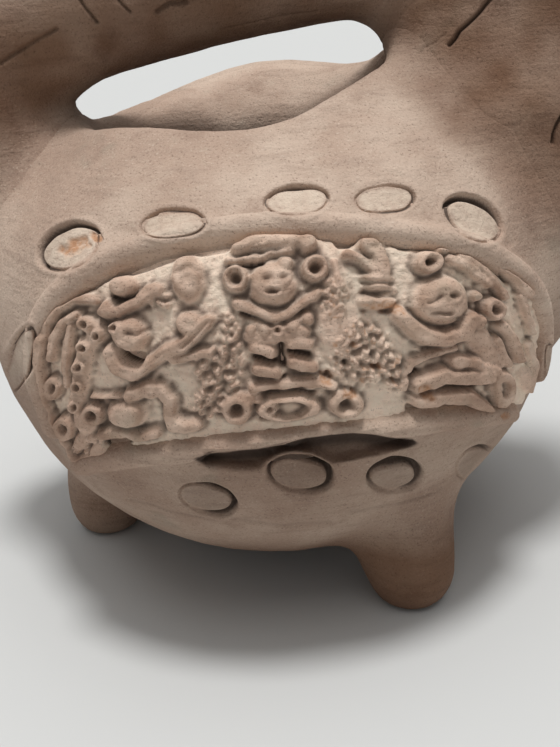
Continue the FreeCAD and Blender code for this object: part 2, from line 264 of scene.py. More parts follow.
def level_set(corners, triangles):
    """The distance to a closed mesh on the grid, negative inside it."""
    grid = openvdb.FloatGrid.createLevelSetFromPolygons(
        corners.astype(np.float32), triangles=triangles.astype(np.uint32),
        transform=grid_transform, halfWidth=float(band_voxels))
    field = np.empty(grid_shape, np.float32)
    grid.copyToArray(field, ijk=tuple(int(i) for i in grid_start))
    return field


def melt(a, b, softness):
    """The union of two distance fields with a soft crease."""
    share = np.maximum(softness - np.abs(a - b), 0) / softness
    return np.minimum(a, b) - share * share * (softness / 4)


def grid_axis(direction):
    """The grid's coordinate along one direction, shaped to spread over the others."""
    values = (np.arange(grid_shape[direction]) + grid_start[direction]) * voxel
    shape = [1, 1, 1]
    shape[direction] = -1
    return values.reshape(shape).astype(np.float32)


def soften(field):
    """Each value mixed with its neighbours', which rounds the hard edges."""
    for direction in range(3):
        field = (np.roll(field, 1, direction) + 2 * field + np.roll(field, -1, direction)) / 4
    return field


def sample(field, points):
    """The field's values between the grid's points."""
    place = points / voxel - grid_start
    cell = np.clip(np.floor(place).astype(int), 0, np.array(grid_shape) - 2)
    part = (place - cell).astype(np.float32)
    total = np.zeros(len(points), np.float32)
    for corner in np.ndindex(2, 2, 2):
        weight = np.prod(np.where(corner, part, 1 - part), axis=1)
        i, j, k = (cell + np.array(corner)).T
        total += weight * field[i, j, k]
    return total


def slope(field, points):
    """The field's direction of growth at points, of length 1."""
    step = voxel / 2
    parts = []
    for direction in range(3):
        offset = np.zeros(3)
        offset[direction] = step
        parts.append(sample(field, points + offset) - sample(field, points - offset))
    normal = np.stack(parts, axis=1)
    return normal / (np.linalg.norm(normal, axis=1, keepdims=True) + 1e-9)


def bore_field():
    """The distance to the spout's bore, negative in it."""
    direction = np.array([sin(spout_lean), 0.0, cos(spout_lean)])
    start = axis + bore_point - direction * bore_depth
    away = [grid_axis(i) - start[i] for i in range(3)]
    along = sum(away[i] * direction[i] for i in range(3))
    across = np.sqrt(sum((away[i] - along * direction[i]) ** 2 for i in range(3)))
    return np.maximum(across - bore_radius, -along).astype(np.float32)


def ledge_field():
    """The distance to the slope inside the back rim, a bent roll."""
    x, y, z = (grid_axis(i) - (axis[i] if i < 2 else ledge_height) for i in range(3))
    beyond = np.maximum(np.abs(np.arctan2(y, x) - ledge_middle) - ledge_half_angle, 0) * ledge_radius
    across = np.hypot(np.hypot(x, y) - ledge_radius, z)
    return (np.hypot(across, beyond) - ledge_thickness).astype(np.float32)


def lapped(name, shift):
    """A half of the body whose side of the joint reaches into the other half."""
    corners, triangles = node_mesh(name)
    corners[np.abs(corners[:, 2] - joint_height) < joint_touch, 2] += shift
    return corners, triangles


feet = ("front_right_foot", "back_right_foot", "left_foot")
rolls = ("front_upper_roll", "front_lower_roll", "back_upper_roll", "back_lower_roll")
bowl_skin, shell_skin = lapped("lower_bowl", joint_lap), lapped("upper_shell", -joint_lap)
body = np.minimum(level_set(*bowl_skin), level_set(*shell_skin))
own = {name: level_set(*node_mesh(name)) for name in ("handle", "handle_root", "spout", "back_rim_coil")}
own.update({name: level_set(*node_mesh(name)) for name in feet + rolls})
roll_angle = np.arctan2(grid_axis(1) - axis[1], grid_axis(0) - axis[0])
for name, side in (("front_lower_roll", front_angle), ("back_lower_roll", back_angle)):
    along = (roll_angle - side - slab_turn + pi) % (2 * pi) - pi
    own[name] = own[name] + roll_thinning * ramp(along, *roll_end).astype(np.float32)

whole = melt(body, own["handle"], handle_melt)
whole = melt(whole, own["handle_root"], root_melt)
whole = melt(whole, own["spout"], spout_melt)
for name in feet:
    whole = melt(whole, own[name], foot_melt)
whole = melt(whole, own["back_rim_coil"], coil_melt)
whole = melt(whole, ledge_field(), ledge_melt)
own["back_rim_coil"] = np.minimum(own["back_rim_coil"], ledge_field())
for name in rolls:
    whole = melt(whole, own[name], roll_melt)
whole = soften(whole)
whole = np.maximum(whole, -bore_field())
height_above_joint = grid_axis(2) - joint_height
own["lower_bowl"] = np.maximum(body, height_above_joint)
own["upper_shell"] = np.maximum(body, -height_above_joint)


def cut_slot(field):
    """The field with the slot under the front's lower roll cut in, deepest at the roll's edge."""
    near = int((axis[1] - slot_reach) / voxel - grid_start[1])
    low = int(joint_height / voxel - grid_start[2])
    x, y, z = np.meshgrid(grid_axis(0).ravel(), grid_axis(1).ravel()[:near],
                          grid_axis(2).ravel()[:low], indexing="ij")
    px, py = pixels(np.stack([x, y, z], axis=-1).reshape(-1, 3))
    below, above = py - np.interp(px, *zip(*slot_top)), np.interp(px, *zip(*slot_foot)) - py
    ends = np.minimum(px - slot_top[0][0], slot_top[-1][0] - px)
    outline = -np.minimum(np.minimum(below, above), ends).reshape(x.shape) * slot_pixel
    sunk = slot_depth * ramp(np.minimum(above, ends), 0, slot_ease).reshape(x.shape)
    slot = np.maximum(outline, -(body[:, :near, :low] + sunk)).astype(np.float32)
    field[:, :near, :low] = np.maximum(field[:, :near, :low], -slot)
    return field


whole = cut_slot(whole)


def split_marked(corners, faces, marked):
    """Cuts the marked triangles in four, and their neighbours so that no gap opens."""
    count = len(corners)
    pairs = np.sort(faces[:, [[0, 1], [1, 2], [2, 0]]].reshape(-1, 2), axis=1)
    edges, place = np.unique(pairs[:, 0] * count + pairs[:, 1], return_inverse=True)
    place = place.reshape(-1, 3)
    cut = np.zeros(len(edges), bool)
    cut[place[marked].ravel()] = True
    new = np.full(len(edges), -1)
    new[cut] = count + np.arange(cut.sum())
    middles = (corners[edges[cut] // count] + corners[edges[cut] % count]) / 2
    middle = new[place]
    sides_cut = (middle >= 0).sum(axis=1)
    result = [faces[sides_cut == 0]]
    a, b, c = faces[sides_cut == 3].T
    m, n, o = middle[sides_cut == 3].T
    result += [np.stack(t, axis=1) for t in ((a, m, o), (m, b, n), (o, n, c), (m, n, o))]
    for turn in range(3):
        order = [turn, (turn + 1) % 3, (turn + 2) % 3]
        one = (sides_cut == 1) & (middle[:, turn] >= 0)
        a, b, c = faces[one][:, order].T
        m = middle[one, turn]
        result += [np.stack((a, m, c), axis=1), np.stack((m, b, c), axis=1)]
        two = (sides_cut == 2) & (middle[:, (turn + 2) % 3] < 0)
        a, b, c = faces[two][:, order].T
        m, n = middle[two, turn], middle[two, (turn + 1) % 3]
        result += [np.stack(t, axis=1) for t in ((m, b, n), (a, m, n), (a, n, c))]
    return np.concatenate([corners, middles]), np.concatenate(result)


# Marks in the body's clay, by their place in the photograph

# Pressed ovals: centre, half width and half height, tilt, depth, the side that bit deepest
# in degrees, and the groove's half width in pixels
stamps = [
    ((173, 224), 31.5, 13.5, 4.0, 0.80, 75.0, 1.8),
    ((297, 200), 32.0, 14.0, 4.0, 0.80, 100.0, 1.8),
    ((384.5, 199), 29.5, 13.5, 2.0, 0.75, -60.0, 1.7),
    ((474, 219), 30.5, 18.5, -33.0, 1.05, 95.0, 2.9),
    ((69, 247), 32.0, 20.0, 28.0, 1.05, 130.0, 2.6),
    ((207, 499), 28.5, 14.0, -15.0, 1.00, 15.0, 2.9),
    ((300, 475), 31.5, 17.5, -8.0, 1.15, 60.0, 3.3),
    ((395, 477), 25.5, 14.5, 8.0, 1.15, 75.0, 4.0),
    ((475, 463), 20.5, 13.5, 35.0, 0.70, 10.0, 2.3),
    ((22, 359), 11.0, 32.0, -16.0, 0.95, 20.0, 2.3),
    ((553, 375), 7.0, 31.0, 6.0, 0.80, 0.0, 2.2),
]
stamp_scale = 1.6
stamp_floor_depth = 0.15
burr_height, burr_gap, burr_width = 0.14, 5.5, 3.0


def stamp_height(x, y):
    """The pressed ovals: a bitten ring, a sunk floor and a faint burr outside; and their floors' share."""
    total, floor_share = np.zeros(x.shape), np.zeros(x.shape)
    for centre, half_width, half_height, tilt, depth, bite, groove in stamps:
        gap = oval_gap(x, y, centre, half_width, half_height, tilt)
        turn = np.arctan2(centre[1] - y, x - centre[0]) - radians(bite)
        bitten = stamp_scale * depth * (0.62 + 0.38 * np.cos(turn))
        width = groove * (0.85 + 0.35 * np.cos(turn))
        total -= bitten * np.exp(-np.abs(gap / width) ** 3)
        total -= stamp_floor_depth * ramp(-gap, 0, 4)
        total += burr_height * np.exp(-((gap - burr_gap) / burr_width) ** 2)
        floor_share = np.maximum(floor_share, ramp(-gap, 2, 5))
    return total, floor_share


def slot_shade(x, y):
    """Painted shade in the slot under the lower roll: darkest under the roll, easing out down the bowl."""
    left, right = slot_top[0][0], slot_top[-1][0]
    below = y - np.interp(x, *zip(*slot_top))
    above = np.interp(x, *zip(*slot_foot)) - y
    inside = ramp(below, -1.5, 1.0) * ramp(above, -1.0, 3.0) * ramp(x, left, left + 8)
    return inside * ramp(-x, -right, -right + 6) * (1.0 - 0.62 * ramp(below, 5, 18))


def make_object(name, corners, faces, replaced, marks, material):
    """A shaded mesh object, in metres, that rides on the root and stands for its nodes."""
    mesh = bpy.data.meshes.new(name)
    mesh.vertices.add(len(corners))
    mesh.vertices.foreach_set("co", (corners * MM).astype(np.float32).ravel())
    mesh.loops.add(faces.size)
    mesh.loops.foreach_set("vertex_index", faces.astype(np.int32).ravel())
    mesh.polygons.add(len(faces))
    mesh.polygons.foreach_set("loop_start", np.arange(0, faces.size, faces.shape[1], dtype=np.int32))
    mesh.polygons.foreach_set("use_smooth", np.ones(len(faces), bool))
    mesh.update()
    mesh.validate()
    for mark, values in marks.items():
        layer = mesh.attributes.new(mark, "FLOAT", "POINT")
        layer.data.foreach_set("value", np.asarray(values, np.float32))
    piece = bpy.data.objects.new(name, mesh)
    bpy.context.scene.collection.objects.link(piece)
    mesh.materials.append(material)
    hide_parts(*replaced)
    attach(piece, "root")


# Cracks and scratches: depth in millimetres, half width in pixels, and the line
body_cracks = [
    (0.8, 1.9, [(449, 44), (455, 38), (460, 30), (470, 21), (480, 11), (492, -3)]),
    (0.35, 2.2, [(0, 63), (22, 50), (40, 38), (56, 29)]),
    (0.45, 1.8, [(80, -2), (86, 9), (97, 22)]),
    (0.40, 1.6, [(118, -2), (123, 5), (130, 12)]),
    (0.50, 2.6, [(158, 11), (170, 4), (186, 3)]),
    (0.12, 1.3, [(421, 54), (424, 48), (434, 43), (446, 33)]),
    (0.12, 1.3, [(222, 30), (262, 22), (318, 12)]),
    (0.12, 1.3, [(250, 36), (300, 26), (352, 17)]),
    (0.18, 1.8, [(132, 500), (170, 512), (214, 520)]),
    (0.16, 1.8, [(232, 520), (280, 526), (330, 522)]),
    (0.16, 1.6, [(350, 512), (392, 506), (430, 494)]),
    (0.7, 1.9, [(562, 116), (557, 126), (554, 134), (553, 142)]),
]
# Chips in the skin that show the orange clay under it: centre, half width, half height,
# tilt and depth
body_chips = [
    ((74, 246), 17, 9, 24, 0.45),
    ((96, 236), 6, 8, 60, 0.45),
    ((505, 416), 5, 4, 0, 0.3),
    ((533, 410), 4, 3, 0, 0.3),
]

# The relief, traced as worn lumps: height, half width, and the line down the middle
strokes = [
    (0.80, 5.0, [(47, 340), (49, 323), (59, 308), (75, 299), (95, 300)]),
    (1.05, 7.5, [(113, 350), (120, 366), (135, 373), (151, 362), (168, 350), (184, 344), (205, 323)]),
    (0.70, 9.0, [(88, 323), (100, 333), (87, 345), (84, 366), (82, 384), (77, 404)]),
    (0.75, 3.8, [(73, 326), (70, 347), (68, 368), (69, 385)]),
    (0.80, 4.6, [(79, 315), (65, 322), (56, 338), (54, 358)]),
    (0.80, 4.6, [(172, 359), (190, 355), (207, 352)]),
    (0.95, 7.0, [(132, 394), (147, 389), (161, 387), (171, 398), (171, 412), (174, 422), (186, 425),
                 (197, 424)]),
    (0.85, 6.0, [(104, 433), (120, 431), (140, 435), (157, 431)]),
    (0.60, 3.5, [(104, 433), (101, 447), (99, 456)]),
    (0.75, 2.6, [(95, 395), (123, 395)]),
    (0.95, 6.5, [(105, 311), (120, 311), (137, 302), (156, 289)]),
    (0.65, 4.0, [(228, 261), (244, 261), (258, 257), (272, 253), (290, 251)]),
    (0.95, 7.5, [(238, 247), (252, 243), (272, 241), (296, 240), (310, 243)]),
    (0.85, 5.5, [(238, 304), (253, 310), (269, 316), (276, 319), (286, 315), (302, 304), (316, 293)]),
    (0.75, 6.5, [(250, 337), (266, 338), (280, 338), (294, 335), (304, 331)]),
    (0.90, 7.0, [(255, 347), (270, 352)]),
    (0.90, 6.5, [(292, 344), (307, 343)]),
    (0.90, 6.5, [(258, 368), (280, 372)]),
    (0.90, 6.5, [(292, 362), (312, 367)]),
    (0.75, 5.0, [(253, 387), (279, 384), (304, 382), (321, 382), (332, 386)]),
    (0.70, 6.0, [(237, 394), (257, 398)]),
    (1.00, 9.0, [(366, 243), (376, 254), (381, 270)]),
    (0.85, 5.0, [(346, 254), (359, 259), (373, 270)]),
    (1.10, 9.0, [(398, 314), (409, 326), (423, 336), (441, 338), (460, 332), (468, 318)]),
    (0.95, 7.0, [(441, 247), (468, 246), (494, 256), (517, 278), (525, 292)]),
    (0.80, 5.0, [(448, 259), (468, 268), (485, 284)]),
    (0.75, 4.0, [(459, 255), (480, 268), (498, 289), (503, 297)]),
    (0.75, 4.2, [(519, 296), (525, 314), (530, 333)]),
    (0.85, 6.0, [(500, 325), (512, 343), (517, 358)]),
    (0.75, 5.0, [(494, 339), (505, 362)]),
    (0.65, 13.0, [(468, 325), (480, 342), (492, 360)]),
    (0.95, 7.0, [(452, 360), (473, 362), (492, 370)]),
    (1.05, 9.0, [(419, 384), (441, 374), (464, 377), (485, 375)]),
    (1.00, 8.0, [(417, 400), (441, 395), (467, 396), (486, 410)]),
    (0.70, 4.0, [(403, 388), (409, 361), (432, 354), (452, 348)]),
    (0.60, 5.0, [(528, 345), (534, 366), (530, 388)]),
    (0.55, 4.0, [(335, 262), (338, 286), (333, 310)]),
    (1.15, 5.5, [(46, 338), (43, 362), (44, 388), (49, 412), (56, 432), (66, 448), (82, 460)]),
    (1.00, 5.0, [(519, 258), (533, 270), (545, 288), (551, 310), (552, 338), (550, 364), (545, 388),
                 (533, 403)]),
]
# Round lumps: height, centre, half width, half height and tilt
lumps = [
    (0.95, (152, 388), 14, 10, 0), (1.15, (125, 286), 15, 10.5, 0), (0.95, (153, 291), 13, 8, 20),
    (0.85, (108, 308), 8, 9, 0),
    (1.20, (131, 334), 17, 18, 0), (1.05, (188.5, 277), 16.5, 25.5, 0), (1.05, (190, 323), 15, 12, -10),
    (1.05, (128, 412), 20, 14, 0), (0.80, (209, 319), 7, 5, 0),
    (1.05, (291.5, 242), 7.5, 7.5, 0), (1.00, (306, 244), 10, 9, 0), (1.05, (284.5, 264), 8.5, 7, 0),
    (1.10, (273, 284), 24, 22, 0), (0.80, (253, 278), 6, 4, 0), (0.70, (256, 294), 6, 5, 0),
    (0.65, (278, 322), 30, 12, 0), (1.25, (273, 290), 5, 5, 0),
    (0.95, (251, 330), 6.5, 6.5, 0), (0.95, (265, 329), 6.5, 6.5, 0), (0.95, (293, 326), 6.5, 6.5, 0),
    (0.90, (307, 318), 6.5, 6, 0), (0.65, (288, 407), 31, 13.5, 3),
    (0.95, (376, 278), 17, 5.5, -2), (1.00, (378, 290), 19, 7, -2), (0.95, (376, 303), 21, 7.5, -4),
    (1.20, (440, 300), 27, 24, -6), (1.05, (490, 308), 11, 11, 0), (0.90, (473, 296), 6, 6, 0),
    (0.95, (476, 321), 8, 8, 0), (0.45, (339, 325), 22, 35, 0), (0.85, (501, 388), 12, 19, 0),
    (0.60, (86, 418), 12, 20, 10), (0.55, (528, 380), 9, 14, 0),
    (0.75, (99, 449), 8, 8, 0), (0.65, (82, 441), 8, 9, 0), (0.70, (90, 456), 7, 5, 0),
    (0.60, (93, 438), 6, 5, 0),
]
# Rings: height, centre, half width, half height, tilt, half thickness and the depth of the hollow
rings = [
    (1.30, (120, 326), 4.5, 4.5, 0, 2.0, 0.3), (1.05, (88, 323), 4.5, 4.5, 0, 2.4, 0.5),
    (1.05, (100, 334), 4.5, 4.5, 0, 2.4, 0.5), (1.05, (87, 346), 4.5, 4.5, 0, 2.4, 0.5),
    (1.05, (84, 366), 4.5, 4.5, 0, 2.4, 0.5), (1.05, (82, 385), 4.5, 4.5, 0, 2.4, 0.5),
    (1.00, (78, 404), 4.5, 4.5, 0, 2.4, 0.5), (0.85, (55, 387), 5, 8, 0, 2.6, 0.6),
    (0.95, (67, 426), 7, 9, 10, 3.4, 1.0), (1.00, (95.5, 413), 7.5, 7.5, 0, 3.4, 1.0),
    (1.00, (235.5, 279), 9, 10, 0, 3.4, 0.5), (1.00, (315, 268), 9.5, 9.5, 0, 3.4, 0.5),
    (1.25, (273.5, 292), 7.5, 4.2, 0, 2.2, 0.35), (1.05, (278, 330), 4.5, 4.5, 0, 2.4, 0.6),
    (0.95, (237, 408), 10.5, 10.5, 0, 4.6, 0.7), (0.95, (345, 403), 12, 9.5, 0, 4.4, 0.7),
    (0.95, (288, 408), 25, 9.5, 3, 2.6, 0.5), (0.80, (270.5, 407), 5, 4, 0, 2.4, 0.4),
    (1.05, (426, 262.5), 9.5, 7.5, 10, 4.2, 0.9), (1.25, (448, 294.5), 6.5, 4.5, 0, 2.0, 0.25),
    (1.05, (490, 308), 7.5, 7.5, 0, 3.6, 0.8), (0.90, (501, 388), 7.5, 13, 0, 3.8, 0.6),
]
# Cuts: depth, half width and the line
cuts = [
    (0.7, 2.2, [(112, 297), (124, 300), (136, 296)]), (1.3, 4.2, [(124, 351), (131, 356), (140, 359)]),
    (0.4, 1.6, [(209, 321), (197, 333), (185, 344)]), (0.45, 1.5, [(132, 331), (141, 332), (148, 329)]),
    (1.0, 4.2, [(105, 445), (116, 445), (128, 440)]), (1.2, 3.0, [(58, 436), (66, 448), (76, 461)]),
    (0.35, 1.5, [(176, 275), (190, 270), (201, 274)]),
    (0.35, 1.2, [(239, 254), (248, 255)]), (0.35, 1.2, [(251, 248), (265, 243)]),
    (0.40, 1.3, [(260, 254), (281, 250)]), (0.35, 1.2, [(279, 239), (303, 237)]),
    (0.60, 1.8, [(229, 266), (244, 266), (262, 263)]), (0.45, 1.4, [(264, 280), (272, 279)]),
    (0.45, 1.4, [(281, 279), (289, 277)]), (0.50, 1.2, [(266, 292), (281, 291)]),
    (0.30, 1.4, [(298, 274), (286, 289), (281, 299)]),
    (0.50, 1.8, [(240, 313), (257, 319), (272, 325), (284, 323)]),
    (0.50, 1.8, [(286, 322), (298, 314), (312, 302)]), (0.60, 2.0, [(255, 358), (276, 361)]),
    (0.60, 2.0, [(290, 353), (309, 356)]), (0.45, 1.4, [(257, 396), (288, 393), (316, 392)]),
    (0.45, 1.4, [(262, 420), (288, 420), (314, 414)]), (0.70, 3.0, [(281, 343), (283, 376)]),
    (0.9, 3.2, [(364, 291), (376, 293), (390, 291)]), (0.35, 1.4, [(423, 301), (436, 295)]),
    (0.45, 1.4, [(428, 312), (446, 311)]), (0.35, 1.2, [(435, 321), (455, 316)]),
    (0.55, 1.8, [(438, 388), (476, 387)]), (0.9, 3.4, [(412, 408), (444, 411), (477, 413)]),
    (0.40, 1.6, [(441, 253), (468, 254), (490, 264), (508, 282)]), (0.30, 1.4, [(366, 250), (388, 246)]),
    (0.6, 2.4, [(408, 375), (417, 372)]), (0.5, 2.0, [(336, 360), (346, 364)]),
]
# The crack under the upper roll, with its depth and half width; above it the slab sinks
upper_crack = [(64, 303), (87, 288), (111, 274), (133, 271), (150, 265), (175, 255), (197, 252), (223, 248),
               (242, 239), (252, 231), (305, 229), (316, 233), (332, 237), (338, 243), (349, 244), (359, 236),
               (380, 237), (401, 245), (423, 246), (450, 243), (473, 244), (503, 254), (530, 272), (544, 290),
               (551, 308)]
crack_depth, crack_half_width, above_crack = 0.8, 2.6, 1.5
# Chips in the relief: centre, half width, half height and depth
relief_chips = [
    ((327, 378), 9, 6, 0.4), ((347, 393), 8, 5, 0.35), ((423, 390), 9, 9, 0.35), ((383, 307), 22, 7, 0.3),
    ((543, 354), 5, 16, 0.3), ((376, 366), 7, 4, 0.2), ((352, 345), 4, 4, 0.2),
]
# Ground that is full of small bumps: centre, half width and half height
stippled = [
    ((219, 368), 24, 26), ((212, 402), 20, 16), ((360, 352), 30, 32), ((334, 300), 14, 24),
    ((232, 334), 10, 24), ((160, 300), 12, 10), ((395, 372), 12, 20), ((90, 446), 16, 14),
]
bump_spacing = 6.4
# How much higher the relief is modelled than its lists say, so that its shadows show
relief_scale = 1.6


def lump_profile(share):
    """1 on a lump's middle, 0 outside, with a round top and a steep side."""
    return np.sin(pi / 2 * np.clip((1.12 - share) / 0.60, 0, 1))


def grain_bumps(x, y, spacing, seed):
    """A ground pressed full of small round bumps."""
    cell_x, cell_y = np.floor(x / spacing).astype(np.int64), np.floor(y / spacing).astype(np.int64)
    best = np.full(x.shape, 1e9)
    for step_x in (-1, 0, 1):
        for step_y in (-1, 0, 1):
            cell = np.stack([cell_x + step_x, cell_y + step_y, np.zeros_like(cell_x)], axis=-1) + 500
            off_x, off_y = hash_lattice(cell, seed), hash_lattice(cell, seed + 1)
            best = np.minimum(best, np.hypot(x - (cell_x + step_x + off_x) * spacing,
                                             y - (cell_y + step_y + off_y) * spacing))
    return np.exp(-(best / (0.40 * spacing)) ** 2)


def relief_height(x, y):
    """The relief's height over the slab's ground, and its cream, chip, dark and tone shares."""
    flat = np.stack([x, y, np.zeros_like(x)], axis=-1)
    x = x + 1.3 * noise(flat, 13.0, 11) + 0.5 * noise(flat, 5.0, 12)
    y = y + 1.3 * noise(flat, 13.0, 13) + 0.5 * noise(flat, 5.0, 14)
    height = 0.10 * noise(flat, 22.0, 15)
    bumps = np.zeros_like(x)
    for centre, half_width, half_height in stippled:
        bumps = np.maximum(bumps, ramp(1.25 - oval_share(x, y, centre, half_width, half_height), 0, 0.45))
    height = height + (0.12 + 0.80 * bumps) * grain_bumps(x, y, bump_spacing, 21)
    for top, half_width, line in strokes:
        height = np.maximum(height, top * lump_profile(line_distance(x, y, line) / half_width))
    for top, centre, half_width, half_height, tilt in lumps:
        share = oval_share(x, y, centre, half_width, half_height, tilt)
        height = np.maximum(height, top * lump_profile(share))
    for top, centre, half_width, half_height, tilt, thickness, hollow in rings:
        share = oval_share(x, y, centre, half_width, half_height, tilt)
        gap = (share - 1) * min(half_width, half_height)
        height = height - hollow * ramp(-gap, 0, thickness)
        height = np.maximum(height, top * lump_profile(np.abs(gap) / thickness))
    for depth, half_width, line in cuts:
        height = height - depth * np.exp(-(line_distance(x, y, line) / half_width) ** 2)
    crack_y = np.interp(x, *zip(*upper_crack))
    height = height - crack_depth * np.exp(-((y - crack_y) / crack_half_width) ** 2)
    height = height - above_crack * ramp(crack_y - y, 0.5, 3.0)
    chip = np.zeros_like(x)
    for centre, half_width, half_height, depth in relief_chips:
        share = oval_share(x, y, centre, half_width, half_height) + 0.35 * noise(flat, 4.0, 16)
        inside = ramp(1.1 - share, 0, 0.5)
        height = height - depth * inside
        chip = np.maximum(chip, inside)
    height = relief_scale * height + 0.10 * noise(flat, 4.2, 17) + 0.06 * noise(flat, 2.3, 18)
    specks = ramp(noise(flat, 3.2, 19), 0.55, 0.8) * bumps
    chip = np.maximum(chip, 0.8 * specks * ramp(x, 300, 330))
    cream = ramp(0.70 - height, 0, 0.5) * (0.72 + 0.28 * noise(flat, 9.0, 20))
    # Below the ground, in the cuts and the crack under the upper roll, the relief is painted dark: painted
    # shade
    dark = ramp(-0.05 - height, 0, 0.45)
    tone = 0.46 * ramp(height, 0.55, 1.2) * (1 + 0.5 * noise(flat, 12.0, 22)) * (1 - 0.8 * chip)
    return height, cream * (1 - dark), chip, dark, tone


# The slab's outline, as in the solid

def slab_top_height(place):
    """The slab's upper edge at a place from -1, its left end, to 1, its right end."""
    rise = np.maximum(1 - np.abs(place) ** slab_roundness, 0) ** (1 / slab_roundness)
    return slab_end_top + (slab_top - slab_end_top) * rise - slab_tilt * place


def slab_bottom_height(place):
    """The slab's lower edge at a place."""
    return slab_bottom - slab_end_drop * place ** 2


skin_corners = np.concatenate([bowl_skin[0], shell_skin[0]])
skin_triangles = np.concatenate([bowl_skin[1], shell_skin[1] + len(bowl_skin[0])])
skin_tree = BVHTree.FromPolygons([tuple(p) for p in skin_corners.tolist()], skin_triangles.tolist())


def skin_points(angles, heights):
    """The places on the bowl's outside at angles and heights."""
    found = np.empty((len(angles), 3))
    for i, (angle, height) in enumerate(zip(angles.tolist(), heights.tolist())):
        way = Vector((cos(angle), sin(angle), 0))
        start = Vector((axis[0], axis[1], height)) + way * (2 * belly_radius)
        found[i] = skin_tree.ray_cast(start, -way)[0]
    return found


smooth_body = soften(soften(body))


def slab_grid(centre_angle):
    """The slab's grid of places on the bowl, and the bowl's outward directions there."""
    u = np.linspace(-1, 1, relief_columns)
    places = 0.6 * u + 0.4 * np.sin(u * pi / 2)
    v = np.linspace(0, 1, relief_rows)
    low, high = slab_bottom_height(places) - slab_overrun, slab_top_height(places) + slab_overrun
    heights = low[:, None] + (high - low)[:, None] * v[None, :]
    angles = np.repeat(centre_angle + slab_turn + places * slab_half_angle, relief_rows)
    points = skin_points(angles, heights.ravel())
    return points, slope(smooth_body, points)


def slab_faces():
    """The faces of a closed slab: its front grid, its back grid and the strips between them."""
    index = np.arange(relief_columns * relief_rows).reshape(relief_columns, relief_rows)
    quads = [np.stack([index[:-1, :-1], index[1:, :-1], index[1:, 1:], index[:-1, 1:]], -1).reshape(-1, 4)]
    quads.append(quads[0][:, ::-1] + index.size)
    rim = np.concatenate([index[:, 0], index[-1, 1:], index[-2::-1, -1], index[0, -2:0:-1]])
    below = rim + index.size
    quads.append(np.stack([np.roll(rim, -1), rim, below, np.roll(below, -1)], -1))
    return np.concatenate(quads)


def blurred(values, rounds):
    """Values on the slab's grid, each mixed with its neighbours' a number of times."""
    grid = values.reshape(relief_columns, relief_rows)
    for _ in range(rounds):
        for direction in (0, 1):
            grid = (np.roll(grid, 1, direction) + 2 * grid + np.roll(grid, -1, direction)) / 4
    return grid.ravel()


def rim_share():
    """0 on the slab's rim and 1 a few steps in, rounded."""
    steps = [np.minimum(np.arange(count), np.arange(count)[::-1]) for count in (relief_columns, relief_rows)]
    inward = np.minimum(steps[0][:, None] / rim_columns, steps[1][None, :] / rim_rows)
    return (0.04 + 0.96 * np.sqrt(1 - (1 - np.clip(inward, 0, 1)) ** 2)).ravel()


# The relief is compared with itself, blurred, to find its creases, which are painted dark: painted shade,
# with some dirt
crease_rounds = 14
crease_shade_and_dirt = 0.95
# How far over the slab's ground the relief's marks are looked up
mark_level = 0.4
front_points, front_normals = slab_grid(front_angle)
relief_x, relief_y = pixels(front_points + front_normals * (slab_proud + mark_level + slab_ground))
relief, relief_cream, relief_chip, relief_dark, relief_tone = relief_height(relief_x, relief_y)
relief = blurred(relief, 1)
relief_crease = blurred(ramp(blurred(relief, crease_rounds) - relief, 0.05, 0.30), 2)
relief_dark = np.maximum(relief_dark, crease_shade_and_dirt * relief_crease)
relief_cream = relief_cream * (1 - relief_crease)
relief_marks = {"cream": relief_cream, "chip": relief_chip, "dark": relief_dark, "tone": relief_tone}


def make_slab(name, points, normals, material):
    """A relief slab: the grid's places raised by the relief, closed by a back."""
    proud = slab_back + (slab_proud + slab_ground + relief - slab_back) * rim_share()
    front = points + normals * proud[:, None]
    corners = np.concatenate([front, points + normals * slab_back])
    marks = {mark: np.concatenate([values, 0 * values]) for mark, values in relief_marks.items()}
    make_object(name + "_clay", corners, slab_faces(), [name], marks, material)


# The other pieces

def own_field(name):
    """A piece's own field: the melted whole, sunk under its neighbours and ended a little way in."""
    mine = own[name]
    others = np.min([field for other, field in own.items() if other != name], axis=0)
    under = np.clip((mine - others) / lap_ramp, 0, 1)
    return np.maximum(whole + lap_sink * under, mine - lap_reach).astype(np.float32)


def field_mesh(field):
    """The closed mesh on which a field is zero."""
    grid = openvdb.FloatGrid(band_voxels * voxel)
    grid.copyFromArray(field, ijk=tuple(int(i) for i in grid_start))
    grid.transform = grid_transform
    corners, triangles, quads = grid.convertToPolygons(isovalue=0.0, adaptivity=0.0)
    faces = [triangles, quads[:, [0, 1, 2]], quads[:, [0, 2, 3]]]
    faces = np.concatenate([f for f in faces if len(f)]).astype(int)
    corners = corners.astype(float)
    a, b, c = (corners[faces[:, i]] for i in range(3))
    if np.einsum("ij,ij->i", a, np.cross(b, c)).sum() < 0:
        faces = faces[:, ::-1]
    return corners, faces


def settle(field, corners, rounds):
    """Moves the corners onto the field's zero surface."""
    for _ in range(rounds):
        step = np.clip(sample(field, corners), -settle_step, settle_step)
        corners = corners - slope(field, corners) * step[:, None]
    return corners


def facing(corners, normals):
    """1 where a place turns to the photograph's camera on the vessel's outside."""
    sight = corners - camera_place
    sight = sight / np.linalg.norm(sight, axis=1, keepdims=True)
    return ramp(-np.einsum("ij,ij->i", sight, normals), 0.02, 0.22)


def outward(corners, normals):
    """1 on the outside of the bowl's wall and 0 on its inside."""
    radial = corners[:, :2] - axis[:2]
    radial = radial / (np.linalg.norm(radial, axis=1, keepdims=True) + 1e-9)
    return ramp(np.einsum("ij,ij->i", radial, normals[:, :2]), -0.25, 0.05)


